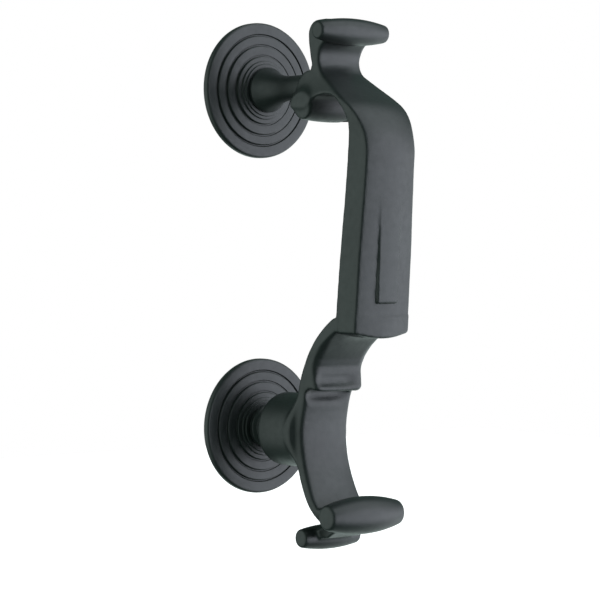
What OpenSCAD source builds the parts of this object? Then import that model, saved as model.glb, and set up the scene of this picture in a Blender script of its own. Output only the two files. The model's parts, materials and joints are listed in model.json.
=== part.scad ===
// S-scroll door knocker: a hinged cast handle between two stepped roses.
// X is across the door, Z is up, and the door's face is the plane Y = 0 with
// the room outside it at negative Y. The origin is the upper fixing stud's
// axis at the door's face. The handle's side outline is drawn as [out, up],
// measured from the hinge pin: out from the door, and up.

/* [Fixing] */
// Distance between the two fixing centres
fixing_centres = 132; // [130:0.5:134]
// Radius of both fixing studs where they go through the door
stud_r = 3; // [2.8:0.1:3.4]
// Length of stud that stands out behind each rose
stud_out = 20; // [15:1:30]

/* [Roses] */
// Radius of both roses
rose_r = 26.5; // [25:0.5:30]
// Thickness of a rose at its middle
rose_h = 6; // [5.6:0.1:6.4]
// Width of each turned groove
groove_w = 0.7; // [0.5:0.1:1.0]

/* [Hinge] */
// Distance of the hinge pin out from the door
pin_out = 45; // [44:0.1:47]
// Radius of the hinge pin
pin_r = 2.5; // [2:0.1:2.8]
// Radius of the post's eye
eye_r = 4.8; // [4.6:0.1:5]
// Thickness of the post's eye
eye_w = 8; // [7:0.5:9]

/* [Handle] */
// Rise of the grip's crowned front above its edges
crown = 2.2; // [1.5:0.1:2.6]
// Height that the lower end of the grip's plaque stands proud
plaque_h = 1.1; // [0.8:0.1:1.4]
// Distance of the striker's flat face out from the door
strike_out = 17.5; // [16:0.5:19]

/* [Hidden] */
$fn = 96;

black = [0.13, 0.14, 0.15];
steel = [0.62, 0.62, 0.64];
zinc = [0.72, 0.70, 0.64];

running_gap = 0.05;      // pin in the post's eye
seat_gap = 0.02;         // pin in the handle's cheeks
slot_gap = 0.3;          // eye to the sides and floor of its slot
strike_gap = 0.3;        // striker to strike stud at rest
swing = 60;              // how far the handle lifts

pin_left = -7.4;         // the pin's blind end
pin_right = 9.1;
screw_r = 1.5;
screw_l = 10;
screw_x = 6.9;

inner_r = 2.5;           // stud's thinner end, in front of the door's face
nut_flats = 4;           // half the width across the nut's flats
nut_h = 2.7;
pocket_r = 5.4;          // round recess for the nut in a rose's back
pocket_h = 2.9;
stud_in = 14;            // stud's reach in front of the door's face
socket_gap = 0.5;        // from the stud's end to the bottom of its hole
thread_play = 0.02;      // stud in its threaded hole

// Handle: shoulder, grip, the cove under it and the big lower C.
shoulder_c = [13.5, -26.7];
shoulder_r = 22;
slope_a = 55;            // direction of the slope's outward normal
lean = 4.7;              // lean of the grip's front towards the door
grip_end = -93;          // height of the grip's lower edge
neck_cove_c = [12.9, 8.6];
neck_cove_r = 7.2;
arch_c = [11.5, -19];
arch_r = 14.6;
scroll_c = [43, -131.2];
scroll_back_r = 50.4;
scroll_front_r = 46.4;
cove_r = 45.4;
bead_c = [1.4, -109.2];  // the bead's upper lobe, and the lip under it
bead_r = 3.9;
lip_c = [3.4, -114.3];
lip_r = 2.1;
head_c = [5.8, 18.3];
head_r = 5.4;
cheek_c = [-0.1, -1];
cheek_r = 6.2;
crown_half = 14;         // half width that the crown spans, over the widest grip
widest = 40;             // wider than every part of the handle's outline

// Rolls: [out, up], radius at the middle, radius at the ends, length.
top_roll = [[12.5, 19.4], 5.1, 3.1, 33.2];
hinge_roll = [[-0.6, -8.3], 5.9, 5, 26.4];
foot_roll = [[19.1, -161.7], 7.1, 4.6, 35];
heel_roll = [[-0.9, -171.5], 4.8, 3.3, 27.6];

// Pairs of [half width, height] down the handle's left side.
half_widths = [[10.8, 27], [10.9, 16], [10.6, 12], [10.1, 8], [10.1, 3],
               [11.3, -1.5], [12.3, -4], [13.3, -6.5], [13.4, -9],
               [13.1, -12], [12.6, -15], [11.9, -20], [11.8, -32],
               [12.1, -45], [12.6, -64], [12.8, -84], [12.8, -93],
               [12.6, -98], [11.9, -106], [11.4, -114], [11.2, -119],
               [11, -133], [11.3, -147], [11.6, -158], [10.7, -163],
               [8.5, -167], [7.5, -176]];

function arc(c, r, a0, a1, n = 14) =
    [for (i = [0:n]) let (a = a0 + (a1 - a0) * i / n) c + r * [cos(a), sin(a)]];
function bow_radius(half, rise) = (half * half + rise * rise) / (2 * rise);
function grip_front(z) =
    shoulder_c[0] + shoulder_r * cos(lean)
    - (shoulder_c[1] - shoulder_r * sin(lean) - z) * tan(lean);

// Stands a side outline up at the pin: [out, up] becomes [-Y, Z], and the
// third axis X.
module side() { translate([0, -pin_out, 0]) rotate([90, 0, -90]) children(); }

// Turns a [radius, out] outline about the line that points out of the door.
module turned() { rotate([90, 0, 0]) rotate_extrude() children(); }

// A roll with its axis across the door and an arched outline.
module roll(spec) {
    half = spec[3] / 2;
    bow_r = bow_radius(half, spec[1] - spec[2]);
    bow_a = asin((half - 0.5) / bow_r);
    side() translate(spec[0]) rotate_extrude()
        polygon(concat([[0, -half], [spec[2] - 0.6, -half]],
                       arc([spec[1] - bow_r, 0], bow_r, -bow_a, bow_a, 16),
                       [[spec[2] - 0.6, half], [0, half]]));
}

// ---- Roses ----

module rose_profile() {
    // Each ring: radius and height; the rings stand inside one another.
    rings = [[21.3, 3.2], [17.3, 3.9], [13.2, 4.7], [11.4, 5.4], [10.2, rose_h]];
    edge = 1.2;
    rim_h = 2.7;
    difference() {
        union() {
            polygon(concat([[0, 0], [rose_r, 0]],
                           arc([rose_r - edge, rim_h - edge], edge, 0, 80, 8),
                           [[0, rim_h + 0.2]]));
            for (ring = rings) square(ring);
        }
        for (ring = [rings[0], rings[1], rings[2]])
            translate([ring[0], ring[1] - 1.1]) square([groove_w, 3]);
        square([pocket_r, pocket_h]);
        square([inner_r + 0.2, rose_h + 1]);
    }
}

module rose(z) {
    color(black) translate([0, 0, z]) turned() rose_profile();
}

module upper_rose() { rose(0); }
module lower_rose() { rose(-fixing_centres); }

// ---- Fixings ----

module fixing_stud(z) {
    tip = 0.6;
    color(zinc) translate([0, 0, z]) turned() polygon([
        [0, -stud_out], [stud_r - tip, -stud_out], [stud_r, -stud_out + tip],
        [stud_r, 0], [inner_r, 0], [inner_r, stud_in - tip],
        [inner_r - tip, stud_in], [0, stud_in]]);
}

module upper_fixing_stud() { fixing_stud(0); }
module lower_fixing_stud() { fixing_stud(-fixing_centres); }

module lock_nut(z) {
    color(zinc) translate([0, 0, z]) rotate([90, 0, 0])
        translate([0, 0, pocket_h - nut_h]) difference() {
            cylinder(r = nut_flats / cos(30), h = nut_h, $fn = 6);
            translate([0, 0, -1]) cylinder(r = inner_r + thread_play, h = nut_h + 2);
        }
}

module upper_lock_nut() { lock_nut(0); }
module lower_lock_nut() { lock_nut(-fixing_centres); }

// ---- Upper post and lower strike stud ----

module threaded_socket() {
    rotate([90, 0, 0])
        cylinder(r = inner_r + thread_play, h = stud_in + socket_gap);
}

module hinge_post() {
    base_r = 8.8;
    neck_r = 4.7;
    foot_h = 1.4;
    flare_h = 15;
    flare_power = 2.3;
    foot = rose_h + foot_h;
    tongue_l = eye_r + 3;
    color(black) difference() {
        union() {
            turned() polygon(concat(
                [[0, rose_h], [base_r, rose_h]],
                [for (i = [0:14]) let (t = i / 14)
                    [neck_r + (base_r - neck_r) * pow(1 - t, flare_power),
                     foot + flare_h * t]],
                [[neck_r, pin_out - eye_r + 1], [0, pin_out - eye_r + 1]]));
            side() linear_extrude(eye_w, center = true) {
                circle(eye_r);
                translate([-tongue_l, 0.2 - neck_r])
                    square([tongue_l, 2 * (neck_r - 0.2)]);
            }
        }
        for (cheek = [-1, 1])
            translate([cheek * (eye_w / 2 + 5), -pin_out, 0])
                cube([10, 2 * tongue_l, 20], center = true);
        translate([0, -pin_out, 0]) rotate([0, 90, 0])
            cylinder(r = pin_r + running_gap, h = 30, center = true);
        threaded_socket();
    }
}

module strike_stud() {
    base_r = 8.6;
    button_r = 7.2;
    dome = 0.6;
    top = strike_out - strike_gap;
    dome_r = bow_radius(button_r, dome);
    dome_a = asin((button_r - 0.6) / dome_r);
    color(black) translate([0, 0, -fixing_centres]) difference() {
        turned() polygon(concat(
            [[0, rose_h], [base_r, rose_h], [base_r, rose_h + 2],
             [button_r, rose_h + 2.8], [button_r, top - dome - 0.5]],
            arc([0, top - dome_r], dome_r, 90 - dome_a, 90, 8)));
        threaded_socket();
    }
}

// ---- Handle ----

module handle_outline() {
    grip_back = [19.2, -87.3];
    polygon(concat(
        arc(neck_cove_c, neck_cove_r, 106, 180 + slope_a, 12),
        arc(shoulder_c, shoulder_r, slope_a, -lean, 24),
        [[grip_front(grip_end + 1.2), grip_end + 1.2],
         [grip_front(grip_end) - 1.2, grip_end]],
        arc(scroll_c, cove_r, 122.6, 146.5),
        arc(bead_c, bead_r, 45, -32, 8),
        arc(lip_c, lip_r, 45, -90, 8),
        [[0.4, -117.2], [-0.5, -118.6], [-1.5, -121.1]],
        arc(scroll_c, scroll_front_r, 171, 218, 26),
        [foot_roll[0] + [-3, 5], foot_roll[0], foot_roll[0] + [-3, -5],
         heel_roll[0] + [9, 0.5], heel_roll[0], heel_roll[0] + [3, 3],
         heel_roll[0] + [8, 5]],
        arc(scroll_c, scroll_back_r, 220.5, 121, 40),
        [grip_back],
        arc(arch_c, arch_r, 12, 132, 20),
        [hinge_roll[0], hinge_roll[0] + [-5.2, 0.5]],
        arc(cheek_c, cheek_r, 200, 84, 12),
        [[1.5, 7.2], [0.9, 11]],
        arc(head_c, head_r, 178, 90, 8),
        [top_roll[0] + [-2, 4.4], top_roll[0]]));
}

module front_outline() {
    right = [for (w = half_widths) w];
    left = [for (i = [len(half_widths) - 1:-1:0])
        [-half_widths[i][0], half_widths[i][1]]];
    polygon(concat(right, left));
}

// A shallow round segment that stands on a face at the radius given.
module bow(face, half, rise, back) {
    bow_r = bow_radius(half, rise);
    intersection() {
        translate([face + rise - bow_r, 0]) circle(bow_r, $fn = 180);
        translate([face - back, -half]) square([back + rise, 2 * half]);
    }
}

module crowned_grip() {
    grip_l = (shoulder_c[1] - shoulder_r * sin(lean) - grip_end) / cos(lean);
    side() translate(shoulder_c) {
        rotate([0, 0, -lean]) rotate_extrude(angle = slope_a + lean)
            bow(shoulder_r, crown_half, crown, 2);
        rotate([90, 0, -lean]) linear_extrude(grip_l - 0.6)
            bow(shoulder_r, crown_half, crown, 2);
    }
}

module plaque() {
    half = 5;
    sunk = 0.15;             // its top edge starts under the grip's face
    top_z = -44;
    end_z = -82;
    down = (shoulder_c[1] - shoulder_r * sin(lean) - top_z) / cos(lean);
    long = (top_z - end_z) / cos(lean);
    bow_r = bow_radius(crown_half, crown);
    side() translate(shoulder_c) rotate([90, 0, -lean])
        translate([shoulder_r + crown - sunk, 0, down])
            rotate([0, atan((plaque_h + sunk) / long), 0])
                linear_extrude(long) intersection() {
                    translate([-bow_r, 0]) circle(bow_r, $fn = 180);
                    translate([-3, -half]) square([4, 2 * half]);
                }
}

// The striker: a drum behind the C, whose own curve flares into it.
module striker() {
    drum_r = 14.1;
    edge = 1.2;
    joins = pin_out + scroll_c[0] - scroll_back_r + 0.6;
    translate([0, 0, -fixing_centres]) turned() polygon(concat(
        [[0, joins], [drum_r - edge, joins]],
        arc([drum_r - edge, joins - edge], edge, 90, 0, 6),
        arc([drum_r - edge, strike_out + edge], edge, 0, -90, 6),
        [[0, strike_out]]));
}

// Room for the post's eye and its tongue at each stage of the lift.
module eye_slot() {
    room = eye_r + slot_gap;
    reach = 14;
    side() linear_extrude(eye_w + 2 * slot_gap, center = true) {
        circle(room);
        for (lift = [0:swing / 4:swing])
            rotate(-lift) translate([-reach, -room]) square([reach, 2 * room]);
    }
}

module knocker_handle() {
    color(black) difference() {
        union() {
            intersection() {
                union() {
                    side() linear_extrude(widest, center = true) handle_outline();
                    crowned_grip();
                }
                rotate([90, 0, 0]) linear_extrude(2 * pin_out) front_outline();
            }
            plaque();
            roll(top_roll);
            roll(hinge_roll);
            roll(foot_roll);
            roll(heel_roll);
            striker();
        }
        eye_slot();
        translate([pin_left - 0.2, -pin_out, 0]) rotate([0, 90, 0])
            cylinder(r = pin_r + seat_gap, h = 30);
        translate([screw_x, -pin_out, -30])
            cylinder(r = screw_r + thread_play, h = 30);
    }
}

// ---- Hinge pin and the grub screw that keeps it ----

module hinge_pin() {
    chamfer = 0.4;
    length = pin_right - pin_left;
    color(steel) translate([pin_left, -pin_out, 0]) rotate([0, 90, 0])
        rotate_extrude() polygon([
            [0, 0], [pin_r - chamfer, 0], [pin_r, chamfer],
            [pin_r, length - chamfer], [pin_r - chamfer, length], [0, length]]);
}

module pin_grub_screw() {
    key_r = 0.87;
    key_h = 1.6;
    color(steel) translate([screw_x, -pin_out, -pin_r - screw_l]) difference() {
        cylinder(r = screw_r, h = screw_l);
        translate([0, 0, -1]) cylinder(r = key_r, h = key_h + 1, $fn = 6);
    }
}

upper_rose();
hinge_post();
upper_fixing_stud();
upper_lock_nut();
lower_rose();
strike_stud();
lower_fixing_stud();
lower_lock_nut();
knocker_handle();
hinge_pin();
pin_grub_screw();
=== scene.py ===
"""Looks of the S-scroll door knocker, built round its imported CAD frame.

The handle is one casting, so its surface is made as one distance field: an
outline seen from the side, given a width and a crowned front, joined softly
to its rolls and its striker drum, and then meshed. The hinge post is made the
same way. Roses and strike stud are turned, and the studs have real threads.
Sizes of the pieces are in millimetres, and those of the stage in metres. In the
handle's own coordinates, out is the distance out from the hinge pin (along -Y)
and up is the height above it.
"""
import json
import math

import bpy
import numpy as np
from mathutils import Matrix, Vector


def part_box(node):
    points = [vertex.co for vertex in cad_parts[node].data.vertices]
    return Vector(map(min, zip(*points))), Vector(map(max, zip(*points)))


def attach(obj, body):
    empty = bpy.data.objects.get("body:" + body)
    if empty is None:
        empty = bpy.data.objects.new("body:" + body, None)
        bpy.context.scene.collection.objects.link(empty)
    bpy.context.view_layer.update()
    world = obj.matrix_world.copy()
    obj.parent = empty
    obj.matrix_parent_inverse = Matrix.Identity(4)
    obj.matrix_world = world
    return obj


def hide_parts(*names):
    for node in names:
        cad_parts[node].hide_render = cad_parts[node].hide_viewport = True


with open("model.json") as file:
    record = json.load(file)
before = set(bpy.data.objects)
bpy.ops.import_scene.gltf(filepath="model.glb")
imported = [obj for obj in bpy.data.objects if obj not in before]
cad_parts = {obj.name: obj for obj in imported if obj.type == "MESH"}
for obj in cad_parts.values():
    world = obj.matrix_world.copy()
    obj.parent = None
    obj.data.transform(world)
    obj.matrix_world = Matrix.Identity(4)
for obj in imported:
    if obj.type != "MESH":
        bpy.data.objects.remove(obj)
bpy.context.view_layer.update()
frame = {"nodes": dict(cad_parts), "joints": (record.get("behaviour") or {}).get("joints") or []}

MM = 0.001
PIN_OUT = -frame["joints"][0]["pos_m"][1] / MM
SWING = frame["joints"][0]["range_deg"][1]
LOWER_Z = sum(corner.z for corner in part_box("lower_rose")) / 2 / MM
ROSE_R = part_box("upper_rose")[1].x / MM
STRIKE_GAP = 0.3
STUD_TOP = -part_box("strike_stud")[0].y / MM
STRIKER_FACE = STUD_TOP + STRIKE_GAP - PIN_OUT
PIN_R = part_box("hinge_pin")[1].z / MM
ROSE_H = 6
POST_EYE_R = 4.8
POST_EYE_HALF = 4
# The hole for a fixing stud's inner end, in a lock nut, the post or the strike stud,
# and how far out from the door it reaches.
SOCKET_R = 2.52
SOCKET_END = 14.5
HANDLE_VOXEL = 0.515
POST_VOXEL = 0.3
# Corners of the boxes that are meshed: across, out and up.
HANDLE_BOX = (-18.5, -30, -178), (18.5, 41, 27)
POST_BOX = (-9.5, -40, -9.5), (9.5, 5.5, 9.5)


# ---- Handle outline, close to the CAD's: points are (out, up) ----

LEAN = math.radians(4.7)
SLOPE = 55
SHOULDER = np.array([13.5, -26.7])
SHOULDER_R = 22
GRIP_END = -93.1
SCROLL = np.array([43, -131.2])
SCROLL_BACK_R = 50.4
SCROLL_FRONT_R = 46.4
GRIP_COVE_R = 45.4
# Round stretches of the outline: centre and radius.
NECK_COVE = (12.9, 8.6), 7.2
BEAD_HOLLOW = (11, -108.2), 5.6
LIP = (4.2, -114.1), 2
ARCH = (11.5, -19), 14.6
CHEEK = (-0.1, -1), 6.2
HEAD = (5.8, 18.3), 5.4
# Points between them.
UNDER_LIP = [(0.4, -117), (-0.5, -118.7), (-1.4, -121.1), (-2.2, -124), (-2.9, -127.3)]
GRIP_BACK = (19.2, -87.3)
CHEEK_START = (-5.8, -7.8)
NAPE = [(1.5, 7.2), (0.9, 11)]
HEAD_TOP = (10.5, 23.8)

# Rolls across the handle. The fillet is where each joins the strip.
TOP_ROLL = dict(centre=(12.5, 19.1), middle=5.1, end=3.2, length=33.2, fillet=1)
HINGE_ROLL = dict(centre=(-0.6, -8.3), middle=5.9, end=5, length=26.4, fillet=4)
FOOT_ROLL = dict(centre=(19.1, -161.7), middle=7.1, end=4.5, length=35, fillet=1.2)
HEEL_ROLL = dict(centre=(-0.9, -171.5), middle=4.8, end=3.4, length=27.4, fillet=1.5)

# Half width of the handle at heights down its length, and the crown there.
WIDTH_AT = [(27, 10.9), (16, 11), (12, 10.8), (8, 10.3), (3, 10.4), (-1.5, 11.7),
            (-4, 12.6), (-6.5, 13.6), (-9, 13.7), (-12, 13.4), (-15, 12.9),
            (-20, 12.1), (-32, 12), (-45, 12.3), (-64, 12.9), (-84, 13.1),
            (-93, 13.1), (-98, 13), (-106, 12.3), (-114, 11.8), (-119, 11.6),
            (-133, 11.3), (-147, 11.6), (-158, 11.9), (-163, 11), (-167, 8.5),
            (-176, 7.5)]
CROWN = 2.2
CROWN_HALF = 13
CROWN_AT = [(27, 0), (12, 0.5), (4, 1), (-6, CROWN), (-92, CROWN), (-96, 0.6),
            (-104, 0.5), (-116, 0.8), (-122, 1.3), (-150, 1.3), (-158, 0)]
# How softly its long edges are rounded: crisp on the grip, soft on the C.
EDGE_AT = [(27, 1.6), (8, 1.6), (-6, 0.9), (-92, 0.9), (-99, 3.6), (-116, 3.2),
           (-124, 1.8), (-176, 1.8)]
BACK_EDGE = 0.8


def arc(centre, radius, start, end, count=24):
    """Points along an arc; its ends are in degrees, from out towards up."""
    angles = np.radians(np.linspace(start, end, count + 1))
    return [(centre[0] + radius * math.cos(a), centre[1] + radius * math.sin(a))
            for a in angles]


def grip_front(up):
    """How far out the grip's leaning front edge is at a height."""
    top = SHOULDER + SHOULDER_R * np.array([math.cos(LEAN), -math.sin(LEAN)])
    return top[0] - (top[1] - up) * math.tan(LEAN)


def front_line():
    """The front of the S from the top roll down to the foot roll."""
    foot = FOOT_ROLL["centre"]
    return ([TOP_ROLL["centre"]]
            + arc(*NECK_COVE, 104, 180 + SLOPE)
            + arc(SHOULDER, SHOULDER_R, SLOPE, -math.degrees(LEAN))
            + [(grip_front(GRIP_END), GRIP_END)]
            + arc(SCROLL, GRIP_COVE_R, 122.6, 142)
            + arc(*BEAD_HOLLOW, 148, 196, 12)
            + arc(*LIP, 20, -90, 12)
            + UNDER_LIP
            + arc(SCROLL, SCROLL_FRONT_R, 180, 218)
            + [(foot[0] - 3, foot[1] + 5), foot])


def back_line():
    """The back of the S from the foot roll up to the top roll."""
    foot = FOOT_ROLL["centre"]
    heel = HEEL_ROLL["centre"]
    return ([foot, (foot[0] - 3, foot[1] - 5), (heel[0] + 9, heel[1] + 0.5),
             heel, (heel[0] + 3, heel[1] + 3), (heel[0] + 8, heel[1] + 5)]
            + arc(SCROLL, SCROLL_BACK_R, 220.5, 121, 60)
            + [GRIP_BACK]
            + arc(*ARCH, 12, 132)
            + [HINGE_ROLL["centre"], CHEEK_START]
            + arc(*CHEEK, 200, 84)
            + NAPE
            + arc(*HEAD, 178, 90)
            + [HEAD_TOP, TOP_ROLL["centre"]])


# ---- Distance fields ----

def soft_min(a, b, k):
    """The nearer of two fields, with a fillet where they meet."""
    h = np.maximum(k - np.abs(a - b), 0) / k
    return np.minimum(a, b) - h * h * k / 4


def soft_max(a, b, k):
    """The farther of two fields, with a rounded edge where they meet."""
    return -soft_min(-a, -b, k)


def line_distance(points, out, up):
    """Distance in the side view from each place to a line of points."""
    nearest = np.full(np.broadcast(out, up).shape, np.inf, np.float32)
    for (x0, y0), (x1, y1) in zip(points[:-1], points[1:]):
        dx, dy = x1 - x0, y1 - y0
        t = np.clip(((out - x0) * dx + (up - y0) * dy) / max(dx * dx + dy * dy, 1e-9), 0, 1)
        gap = (out - x0 - t * dx) ** 2 + (up - y0 - t * dy) ** 2
        nearest = np.minimum(nearest, gap)
    return np.sqrt(nearest)


def is_inside(points, out, up):
    """Whether each place in the side view is inside a closed line of points."""
    crossings = np.zeros(np.broadcast(out, up).shape, bool)
    for (x0, y0), (x1, y1) in zip(points, points[1:] + points[:1]):
        if y0 != y1:
            spans = (y0 > up) != (y1 > up)
            crossings ^= spans & (out < x0 + (up - y0) * (x1 - x0) / (y1 - y0))
    return crossings


def blur(field, axis, sigma):
    """Softens a field along one axis; sigma is in samples."""
    reach = max(1, math.ceil(2.5 * sigma))
    offsets = np.arange(-reach, reach + 1)
    weights = np.exp(-0.5 * (offsets / sigma) ** 2)
    weights /= weights.sum()
    pad = [(0, 0)] * field.ndim
    pad[axis] = (reach, reach)
    padded = np.pad(field, pad, mode="edge")
    size = field.shape[axis]
    result = np.zeros_like(field)
    for offset, weight in zip(offsets, weights):
        start = reach + offset
        result += weight * np.take(padded, range(start, start + size), axis)
    return result


def at_heights(table, up):
    """Values from a table of (height, value), for an array of heights."""
    heights, values = zip(*reversed(table))
    return np.interp(up.ravel(), heights, values).reshape(up.shape)


def roll_field(roll, x, out, up):
    """A spindle across the door, with an arched outline and flat ends."""
    edge = 0.9
    half = roll["length"] / 2
    radius = roll["middle"] - (roll["middle"] - roll["end"]) * (x / half) ** 2
    slope = 2 * (roll["middle"] - roll["end"]) * x / half ** 2
    from_axis = np.hypot(out - roll["centre"][0], up - roll["centre"][1])
    return soft_max((from_axis - radius) / np.sqrt(1 + slope ** 2), np.abs(x) - half, edge)


def crowned(x, rise):
    """Height of a crown across the handle that rises so far in the middle."""
    return rise * (1 - (x / CROWN_HALF) ** 2)


def grip_coordinates(out, up):
    """Height above the grip's leaning front edge, and distance down along it."""
    top = SHOULDER + SHOULDER_R * np.array([math.cos(LEAN), -math.sin(LEAN)])
    rise = (out - top[0]) * math.cos(LEAN) - (up - top[1]) * math.sin(LEAN)
    down = -(out - top[0]) * math.sin(LEAN) - (up - top[1]) * math.cos(LEAN)
    return rise, down


def plaque_field(x, out, up):
    """The tapering panel that stands proud of the grip's lower front."""
    half, proud, sunk, depth = 5, 1.1, 0.35, 3
    start, end = 14, 53.6
    rise, down = grip_coordinates(out, up)
    height = crowned(x, CROWN) - sunk
    height = height + (proud + sunk) * (down - start) / (end - start)
    ends = np.maximum(np.maximum(down - end, start - down), -depth - rise)
    return np.maximum(np.maximum(rise - height, np.abs(x) - half), ends)


def grip_hem_field(x, out, up):
    """The grip's lower end, which hangs lowest in the middle."""
    half, sag, depth, tall, edge = 13.1, 2.1, 9, 6, 0.9
    rise, _ = grip_coordinates(out, up)
    face = rise - crowned(x, CROWN)
    end = GRIP_END - crowned(x, sag) - up
    block = soft_max(soft_max(face, end, edge), np.abs(x) - half, edge)
    return np.maximum(block, np.maximum(-depth - rise, up - GRIP_END - tall))


def groove_field(x, out, up):
    """Grooves between the bead's lobes and under its lip, dying out to the right."""
    left_end, right_end, taper = -8, 3, 0.5
    past_end = taper * np.maximum(x - right_end, 0) + np.maximum(left_end - x, 0)
    grooves = [(7.6, -111.5, 2.4), (1.9, -117.4, 3.2)]
    return np.minimum(*[np.sqrt((out - a) ** 2 + (up - b) ** 2 + past_end ** 2) - radius
                        for a, b, radius in grooves])


def slot_field(x, out, up):
    """Room for the post's eye and its tongue through the whole lift."""
    gap_round, stages = 0.3, 5
    room, half = POST_EYE_R + gap_round, POST_EYE_HALF + gap_round
    side = np.full(np.broadcast(out, up).shape, np.inf, np.float32)
    for lift in np.radians(np.linspace(0, SWING, stages)):
        along = np.maximum(-out * math.cos(lift) + up * math.sin(lift), 0)
        gap = np.hypot(out + along * math.cos(lift), up - along * math.sin(lift))
        side = np.minimum(side, gap - room)
    return np.maximum(side, np.abs(x) - half)


def bores_field(x, out, up):
    """The pin's hole, open to the right, and the grub screw's hole."""
    pin_left, pin_gap = -7.6, 0.02
    screw_x, screw_r, half = 6.9, 1.52, 8
    pin = np.maximum(np.hypot(out, up) - PIN_R - pin_gap, pin_left - x)
    screw = np.maximum(np.hypot(x - screw_x, out) - screw_r, np.abs(up + half) - half)
    return np.minimum(pin, screw)


def drum_field(x, out, up):
    """The striker: a round drum behind the C."""
    radius, edge, join_edge, overlap = 14.2, 1.6, 1.5, 0.4
    join = SCROLL[0] - SCROLL_BACK_R
    from_axis = np.hypot(x, up - LOWER_Z)
    barrel = soft_max(from_axis - radius, STRIKER_FACE - out, edge)
    return soft_max(barrel, out - join - overlap, join_edge)


def handle_field(x, out, up):
    """The whole casting: the crowned strip, then what is added to it and cut away."""
    hem_fillet, groove_edge, drum_fillet, plaque_fillet = 0.8, 2.2, 4.5, 0.3
    width_blur, crown_blur, polish = 1.6, 1, 0.22
    front, back = front_line(), back_line()
    to_front = line_distance(front, out, up)
    to_back = line_distance(back, out, up)
    outline = np.minimum(to_front, to_back)
    outline = np.where(is_inside(front + back, out, up), -outline, outline)
    frontness = np.clip(to_back / (to_front + to_back), 0, 1) ** 1.5

    half = blur(at_heights(WIDTH_AT, up), 2, width_blur / HANDLE_VOXEL)
    crown = blur(at_heights(CROWN_AT, up), 2, crown_blur / HANDLE_VOXEL)
    edge = at_heights(EDGE_AT, up)
    bow = crown * (1 - np.clip(x / half, -1, 1) ** 2)
    edge = BACK_EDGE + (edge - BACK_EDGE) * frontness
    body = soft_max(outline - bow * frontness, np.abs(x) - half, edge)
    body = soft_min(body, grip_hem_field(x, out, up), hem_fillet)
    body = soft_max(body, -groove_field(x, out, up), groove_edge)
    for roll in (TOP_ROLL, HINGE_ROLL, FOOT_ROLL, HEEL_ROLL):
        body = soft_min(body, roll_field(roll, x, out, up), roll["fillet"])
    body = soft_min(body, drum_field(x, out, up), drum_fillet)
    for axis in range(3):
        body = blur(body, axis, polish / HANDLE_VOXEL)
    body = soft_min(body, plaque_field(x, out, up), plaque_fillet)
    body = np.maximum(body, -slot_field(x, out, up))
    return np.maximum(body, -bores_field(x, out, up))


def post_field(x, out, up):
    """The hinge post: a flange, a trumpet, and an eye on the hinge pin."""
    flange_r, flange_h, neck_r = 8.8, 1.4, 4.7
    flare_h, power, tongue, into_eye, pin_gap = 15, 2.3, 7.8, 1, 0.05
    foot_edge, flat_edge, eye_edge, eye_fillet = 0.5, 0.6, 0.7, 1
    door = out + PIN_OUT
    t = np.clip((door - ROSE_H - flange_h) / flare_h, 0, 1)
    radius = neck_r + (flange_r - neck_r) * (1 - t) ** power
    slope = power * (flange_r - neck_r) / flare_h * (1 - t) ** (power - 1)
    from_axis = np.hypot(x, up)
    stem = soft_max((from_axis - radius) / np.sqrt(1 + slope ** 2), ROSE_H - door,
                    foot_edge)
    stem = np.maximum(stem, out + POST_EYE_R - into_eye)
    flats = soft_max(np.abs(x) - POST_EYE_HALF, stem, flat_edge)
    stem = np.where(out > -tongue, flats, stem)
    eye = soft_max(np.hypot(out, up) - POST_EYE_R, np.abs(x) - POST_EYE_HALF, eye_edge)
    body = soft_min(stem, eye, eye_fillet)
    body = np.maximum(body, PIN_R + pin_gap - np.hypot(out, up))
    return np.maximum(body, -np.maximum(from_axis - SOCKET_R, door - SOCKET_END))


def surface_net(field, low, step):
    """Points and quads of the surface where the field is zero."""
    cells, places, corners = [], [], []
    for axis in range(3):
        a = np.moveaxis(field, axis, 0)
        found = np.nonzero((a[:-1] < 0) != (a[1:] < 0))
        before, after = a[:-1][found], a[1:][found]
        index = np.array(found).T
        index = np.insert(index[:, 1:], axis, index[:, 0], axis=1)
        place = index.astype(float)
        place[:, axis] += before / (before - after)
        b, c = (axis + 1) % 3, (axis + 2) % 3
        ring = []
        for shift_b, shift_c in ((0, 0), (-1, 0), (-1, -1), (0, -1)):
            cell = index.copy()
            cell[:, b] += shift_b
            cell[:, c] += shift_c
            ring.append(np.ravel_multi_index(cell.T, field.shape))
        ring = np.array(ring).T
        ring[before > 0] = ring[before > 0][:, ::-1]
        corners.append(ring)
        cells.append(ring.ravel())
        places.append(np.repeat(place, 4, axis=0))
    names, which = np.unique(np.concatenate(cells), return_inverse=True)
    which = which.ravel()
    places = np.concatenate(places)
    count = np.bincount(which)
    points = np.stack([np.bincount(which, places[:, i]) / count for i in range(3)], axis=1)
    quads = np.searchsorted(names, np.concatenate(corners))
    return points * step + low, quads


def mesh_from(name, points, faces):
    """A smooth-shaded object in the scene, from points in metres."""
    mesh = bpy.data.meshes.new(name)
    mesh.from_pydata(points.tolist(), [], faces.tolist())
    mesh.update()
    mesh.shade_smooth()
    piece = bpy.data.objects.new(name, mesh)
    bpy.context.scene.collection.objects.link(piece)
    return piece


def cast_piece(name, field, low, high, step):
    """Meshes a field that is given in the handle's own coordinates."""
    low = np.array(low, float)
    counts = np.ceil((np.array(high) - low) / step).astype(int) + 1
    x, out, up = (low[i] + step * np.arange(counts[i], dtype=np.float32) for i in range(3))
    values = field(x[:, None, None], out[None, :, None], up[None, None, :])
    points, quads = surface_net(values, low, step)
    points[:, 1] = -(points[:, 1] + PIN_OUT)
    return mesh_from(name, points * MM, quads[:, ::-1])


# ---- Turned pieces and threads ----

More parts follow.
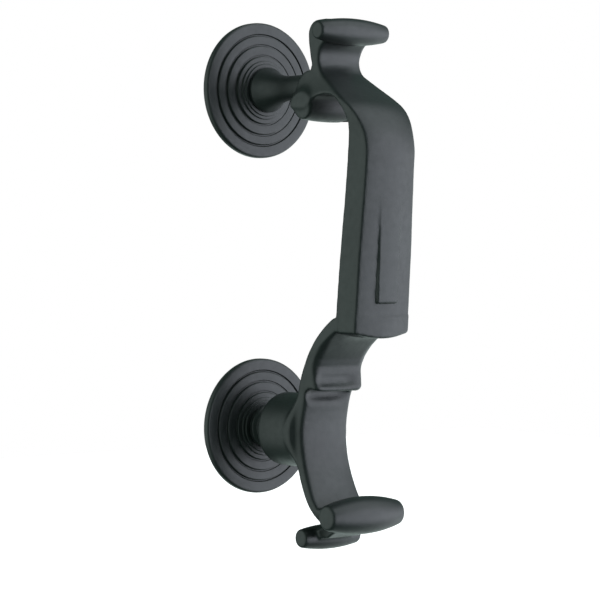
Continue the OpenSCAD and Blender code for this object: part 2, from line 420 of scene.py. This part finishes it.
def filleted(corners):
    """A closed outline from (radius, out, fillet) corners, with arcs at them."""
    longest, steps = 0.48, 6   # the share of a side that an arc may take, and its points
    outline = []
    for i, (x, y, fillet) in enumerate(corners):
        here = np.array([x, y])
        before = np.array(corners[i - 1][:2]) - here
        after = np.array(corners[(i + 1) % len(corners)][:2]) - here
        if fillet == 0:
            outline.append(here)
            continue
        a, b = before / np.linalg.norm(before), after / np.linalg.norm(after)
        half = math.acos(np.clip(a @ b, -1, 1)) / 2
        reach = min(fillet / math.tan(half), longest * np.linalg.norm(before),
                    longest * np.linalg.norm(after))
        middle = (a + b) / np.linalg.norm(a + b)
        radius = reach * math.tan(half)
        centre = here + middle * radius / math.sin(half)
        start, end = here + a * reach - centre, here + b * reach - centre
        for t in np.linspace(0, 1, steps):
            turned = (1 - t) * start + t * end
            outline.append(centre + turned / np.linalg.norm(turned) * radius)
    return np.array(outline)


def grid_mesh(name, rings):
    """A closed skin over rings of points; the rings follow one another round."""
    count, around = rings.shape[:2]
    index = np.arange(count * around).reshape(count, around)
    a, b = index, np.roll(index, -1, axis=0)
    faces = np.stack([a, b, np.roll(b, -1, axis=1), np.roll(a, -1, axis=1)], axis=2)
    return mesh_from(name, rings.reshape(-1, 3) * MM, faces.reshape(-1, 4))


def turned_piece(name, corners, z, around=192):
    """Turns a closed outline about the line that points out of the door at z."""
    outline = filleted(corners)
    angles = np.linspace(0, 2 * math.pi, around, endpoint=False)
    rings = np.empty((len(outline), len(angles), 3))
    rings[:, :, 0] = outline[:, :1] * np.cos(angles)
    rings[:, :, 1] = -outline[:, 1:]
    rings[:, :, 2] = outline[:, :1] * np.sin(angles) + z
    return grid_mesh(name, rings)


def make_rose(name, z):
    """A rose with three turned grooves and two small steps at its middle."""
    hole, pocket, pocket_h, groove_w = 2.7, 5.4, 2.9, 0.7
    # Inner radius, height of the top inside it, of the groove's floor and of the top outside.
    grooves = [(13.2, 4.7, 3.6, 3.9), (17.3, 3.9, 2.8, 3.2), (21.3, 3.2, 2.1, 2.75)]
    corners = [(hole, ROSE_H, 0.2), (10.2, ROSE_H, 0.3), (10.2, 5.4, 0.2), (11.4, 5.4, 0.3),
               (11.4, 4.7, 0.2)]
    for radius, inside, floor, outside in grooves:
        corners += [(radius, inside, 0.4), (radius, floor, 0.3),
                    (radius + groove_w, floor, 0.3), (radius + groove_w, outside, 0.3)]
    corners += [(ROSE_R, 2.7, 1.1), (ROSE_R, 0, 0.3), (pocket, 0, 0.3),
                (pocket, pocket_h, 0.2), (hole, pocket_h, 0.2)]
    return turned_piece(name, corners, z, 256)


def make_strike_stud(name):
    """A flanged button with a faintly domed face."""
    top = STUD_TOP
    corners = [(0.01, top, 0), (3.6, top - 0.12, 6), (6.2, top - 0.5, 3), (7.2, top - 1.1, 0.7),
               (7.2, 8.9, 0.5), (8.6, 7.9, 0.5), (8.6, ROSE_H, 0.2), (SOCKET_R, ROSE_H, 0.2),
               (SOCKET_R, SOCKET_END, 0.2), (0.01, SOCKET_END + 0.6, 0)]
    return turned_piece(name, corners, LOWER_Z, 128)


def make_stud(name, z, node):
    """A stud with one thread for the door and a finer one for the piece it holds."""
    low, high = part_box(node)
    outer_end, inner_end = -high.y / MM, -low.y / MM
    steps = 12
    around = 48
    tip, chamfer = 0.01, 0.7
    theta = np.linspace(0, 2 * math.pi, around, endpoint=False)
    rings = [np.tile([[tip, outer_end]], (around, 1))]
    for start, end, radius, pitch in ((outer_end, 0, 3, 1), (0, inner_end, 2.5, 0.8)):
        depth = 0.55 * pitch
        for along in np.linspace(start, end, round((end - start) / pitch) * steps + 1):
            phase = (along / pitch - theta / (2 * math.pi)) % 1
            crest = np.clip(2.6 * np.abs(phase - 0.5) - 0.18, 0, 1)
            reach = radius - depth * crest
            to_end = min(along - outer_end, inner_end - along)
            limit = radius - chamfer + to_end if to_end < chamfer else radius
            rings.append(np.stack([np.minimum(reach, limit), np.full(around, along)], axis=1))
    rings.append(np.tile([[tip, inner_end]], (around, 1)))
    rings = np.array(rings)
    points = np.empty((*rings.shape[:2], 3))
    points[:, :, 0] = rings[:, :, 0] * np.cos(theta)
    points[:, :, 1] = -rings[:, :, 1]
    points[:, :, 2] = rings[:, :, 0] * np.sin(theta) + z
    return grid_mesh(name, points)


def make_nut(name, z):
    """A hexagon nut with chamfered corners and a countersunk hole."""
    flats, bottom, top = 4, 0.2, 2.9
    inset, bevel, sink = 0.55, 0.3, 0.4
    around = 144
    theta = np.linspace(0, 2 * math.pi, around, endpoint=False)
    sixth = math.pi / 3
    hexagon = flats / np.cos((theta + sixth / 2) % sixth - sixth / 2)
    rings = []
    for out, cut in ((bottom, inset), (bottom + bevel, 0), (top - bevel, 0), (top, inset)):
        limit = flats / math.cos(sixth / 2) - cut
        rings.append((np.minimum(hexagon, limit), out))
    for radius, out in ((SOCKET_R + sink, top), (SOCKET_R, top - sink),
                        (SOCKET_R, bottom + sink), (SOCKET_R + sink, bottom)):
        rings.append((np.full(around, radius), out))
    points = np.empty((len(rings), around, 3))
    for ring, (radius, out) in zip(points, rings):
        ring[:, 0] = radius * np.cos(theta)
        ring[:, 1] = -out
        ring[:, 2] = radius * np.sin(theta) + z
    return grid_mesh(name, points)


# ---- Materials ----

def node_material(name):
    material = bpy.data.materials.new(name)
    material.use_nodes = True
    shader = material.node_tree.nodes["Principled BSDF"]
    return material, material.node_tree, shader


def satin_black(name, colour, roughness):
    """Satin paint over cast iron: faint unevenness under a soft sheen."""
    material, tree, shader = node_material(name)
    nodes, links = tree.nodes, tree.links
    where = nodes.new("ShaderNodeTexCoord")
    broad = nodes.new("ShaderNodeTexNoise")
    broad.inputs["Scale"].default_value = 55
    broad.inputs["Detail"].default_value = 3
    fine = nodes.new("ShaderNodeTexNoise")
    fine.inputs["Scale"].default_value = 420
    fine.inputs["Detail"].default_value = 4
    links.new(where.outputs["Object"], broad.inputs["Vector"])
    links.new(where.outputs["Object"], fine.inputs["Vector"])

    tint = nodes.new("ShaderNodeValToRGB")
    tint.color_ramp.elements[0].position = 0.3
    tint.color_ramp.elements[0].color = [0.8 * c for c in colour] + [1]
    tint.color_ramp.elements[1].position = 0.7
    tint.color_ramp.elements[1].color = [1.2 * c for c in colour] + [1]
    links.new(broad.outputs["Fac"], tint.inputs["Fac"])
    links.new(tint.outputs["Color"], shader.inputs["Base Color"])

    rough = nodes.new("ShaderNodeMapRange")
    rough.inputs["From Min"].default_value = 0.3
    rough.inputs["From Max"].default_value = 0.7
    rough.inputs["To Min"].default_value = roughness - 0.05
    rough.inputs["To Max"].default_value = roughness + 0.06
    links.new(fine.outputs["Fac"], rough.inputs["Value"])
    links.new(rough.outputs["Result"], shader.inputs["Roughness"])

    bump = nodes.new("ShaderNodeBump")
    bump.inputs["Strength"].default_value = 0.12
    bump.inputs["Distance"].default_value = 0.0003
    links.new(fine.outputs["Fac"], bump.inputs["Height"])
    links.new(bump.outputs["Normal"], shader.inputs["Normal"])
    return material


def plated_steel(name, colour, roughness):
    """Bare or plated metal with a fine mottle in its tone and its shine."""
    material, tree, shader = node_material(name)
    nodes, links = tree.nodes, tree.links
    shader.inputs["Metallic"].default_value = 1
    where = nodes.new("ShaderNodeTexCoord")
    mottle = nodes.new("ShaderNodeTexNoise")
    mottle.inputs["Scale"].default_value = 300
    mottle.inputs["Detail"].default_value = 5
    links.new(where.outputs["Object"], mottle.inputs["Vector"])
    tint = nodes.new("ShaderNodeValToRGB")
    tint.color_ramp.elements[0].color = [0.75 * c for c in colour] + [1]
    tint.color_ramp.elements[1].color = [1.1 * c for c in colour] + [1]
    links.new(mottle.outputs["Fac"], tint.inputs["Fac"])
    links.new(tint.outputs["Color"], shader.inputs["Base Color"])
    rough = nodes.new("ShaderNodeMapRange")
    rough.inputs["To Min"].default_value = roughness - 0.1
    rough.inputs["To Max"].default_value = roughness + 0.1
    links.new(mottle.outputs["Fac"], rough.inputs["Value"])
    links.new(rough.outputs["Result"], shader.inputs["Roughness"])
    return material


def paint_node(node, material):
    """Gives a CAD node one material in place of its own."""
    mesh = frame["nodes"][node].data
    mesh.materials.clear()
    mesh.materials.append(material)


# ---- Stage ----

CAMERA_TURN = 38.5         # degrees round to the knocker's left


def add_camera():
    """A long lens, left of the knocker and level with the middle of its grip."""
    turn = math.radians(CAMERA_TURN)
    distance, beside, height, dip = 0.9277, 0.0167, -0.0595, -0.0247
    ahead = Vector((math.sin(turn), math.cos(turn), 0))
    across = Vector((math.cos(turn), -math.sin(turn), 0))
    camera = bpy.data.objects.new("camera", bpy.data.cameras.new("camera"))
    camera.data.lens = 141             # as is the sensor's width, in millimetres
    camera.data.sensor_width = 36
    camera.location = across * beside - ahead * distance + Vector((0, 0, height))
    look = ahead + Vector((0, 0, dip))
    camera.rotation_euler = look.to_track_quat("-Z", "Y").to_euler()
    bpy.context.scene.collection.objects.link(camera)
    bpy.context.scene.camera = camera


def add_studio():
    """Broad soft lights round the knocker, on a pale floor that runs to white."""
    # Bearing to the right of the camera's, height, how far the light spreads
    # (all in degrees), strength and colour.
    lights = [(70, -3, 48, 2.6, (0.88, 0.9, 1)),
              (120, -10, 40, 1.3, (0.9, 0.93, 1)),
              (85, 50, 40, 1.5, (0.9, 0.95, 1)),
              (135, -42, 35, 0.7, (0.9, 1, 1)),
              (285, 0, 60, 0.95, (0.88, 1, 0.97)),
              (180, -25, 35, 0.8, (0.85, 1, 0.97))]
    ambient = (0.08, 0.13, 0.11, 1)
    world = bpy.data.worlds.new("studio")
    bpy.context.scene.world = world
    world.use_nodes = True
    nodes, links = world.node_tree.nodes, world.node_tree.links
    where = nodes.new("ShaderNodeTexCoord")
    total = nodes["Background"]
    total.inputs["Color"].default_value = ambient
    for bearing, height, spread, strength, colour in lights:
        around, lift = math.radians(CAMERA_TURN + 180 - bearing), math.radians(height)
        towards = nodes.new("ShaderNodeVectorMath")
        towards.operation = "DOT_PRODUCT"
        towards.inputs[1].default_value = (math.sin(around) * math.cos(lift),
                                           math.cos(around) * math.cos(lift),
                                           math.sin(lift))
        links.new(where.outputs["Generated"], towards.inputs[0])
        glow = nodes.new("ShaderNodeMapRange")
        glow.interpolation_type = "SMOOTHSTEP"
        glow.inputs["From Min"].default_value = math.cos(math.radians(spread))
        glow.inputs["From Max"].default_value = math.cos(math.radians(spread / 4))
        glow.inputs["To Max"].default_value = strength
        links.new(towards.outputs["Value"], glow.inputs["Value"])
        light = nodes.new("ShaderNodeBackground")
        light.inputs["Color"].default_value = (*colour, 1)
        links.new(glow.outputs["Result"], light.inputs["Strength"])
        both = nodes.new("ShaderNodeAddShader")
        links.new(total.outputs[0], both.inputs[0])
        links.new(light.outputs[0], both.inputs[1])
        total = both
    rays = nodes.new("ShaderNodeLightPath")
    backdrop = nodes.new("ShaderNodeBackground")
    backdrop.inputs["Color"].default_value = (1, 1, 1, 1)
    mix = nodes.new("ShaderNodeMixShader")
    links.new(rays.outputs["Is Camera Ray"], mix.inputs["Fac"])
    links.new(total.outputs[0], mix.inputs[1])
    links.new(backdrop.outputs["Background"], mix.inputs[2])
    links.new(mix.outputs["Shader"], nodes["World Output"].inputs["Surface"])
    bpy.context.scene.view_settings.view_transform = "Standard"

    mesh = bpy.data.meshes.new("floor")
    reach, level = 1.5, -0.3
    mesh.from_pydata([(-reach, -reach, level), (reach, -reach, level),
                      (reach, reach, level), (-reach, reach, level)], [], [(0, 1, 2, 3)])
    floor = bpy.data.objects.new("floor", mesh)
    floor.visible_diffuse = floor.visible_glossy = False
    material, _, shader = node_material("pale_floor")
    shader.inputs["Base Color"].default_value = (0.8, 0.8, 0.8, 1)
    shader.inputs["Emission Color"].default_value = (1, 1, 1, 1)
    shader.inputs["Emission Strength"].default_value = 1
    mesh.materials.append(material)
    bpy.context.scene.collection.objects.link(floor)


add_camera()
add_studio()

paint = satin_black("satin_black_paint", (0.021, 0.0255, 0.025), 0.38)
zinc = plated_steel("dull_zinc", (0.6, 0.59, 0.55), 0.4)
steel = plated_steel("oiled_steel", (0.28, 0.28, 0.29), 0.35)


def fit(piece, material, body, node):
    """Finishes a piece: its material, its body and the CAD node it stands for."""
    piece.data.materials.append(material)
    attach(piece, body)
    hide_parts(node)


fit(cast_piece("handle_casting", handle_field, *HANDLE_BOX, HANDLE_VOXEL),
    paint, "knocker", "knocker_handle")
fit(cast_piece("hinge_post_casting", post_field, *POST_BOX, POST_VOXEL),
    paint, "door_side", "hinge_post")
fit(make_strike_stud("strike_stud_turned"), paint, "door_side", "strike_stud")
for side, z in (("upper", 0), ("lower", LOWER_Z)):
    fit(make_rose(side + "_rose_turned", z), paint, "door_side", side + "_rose")
    fit(make_stud(side + "_stud_threaded", z, side + "_fixing_stud"), zinc, "door_side",
        side + "_fixing_stud")
    fit(make_nut(side + "_nut_chamfered", z), zinc, "door_side", side + "_lock_nut")
for node in ("hinge_pin", "pin_grub_screw"):
    paint_node(node, steel)
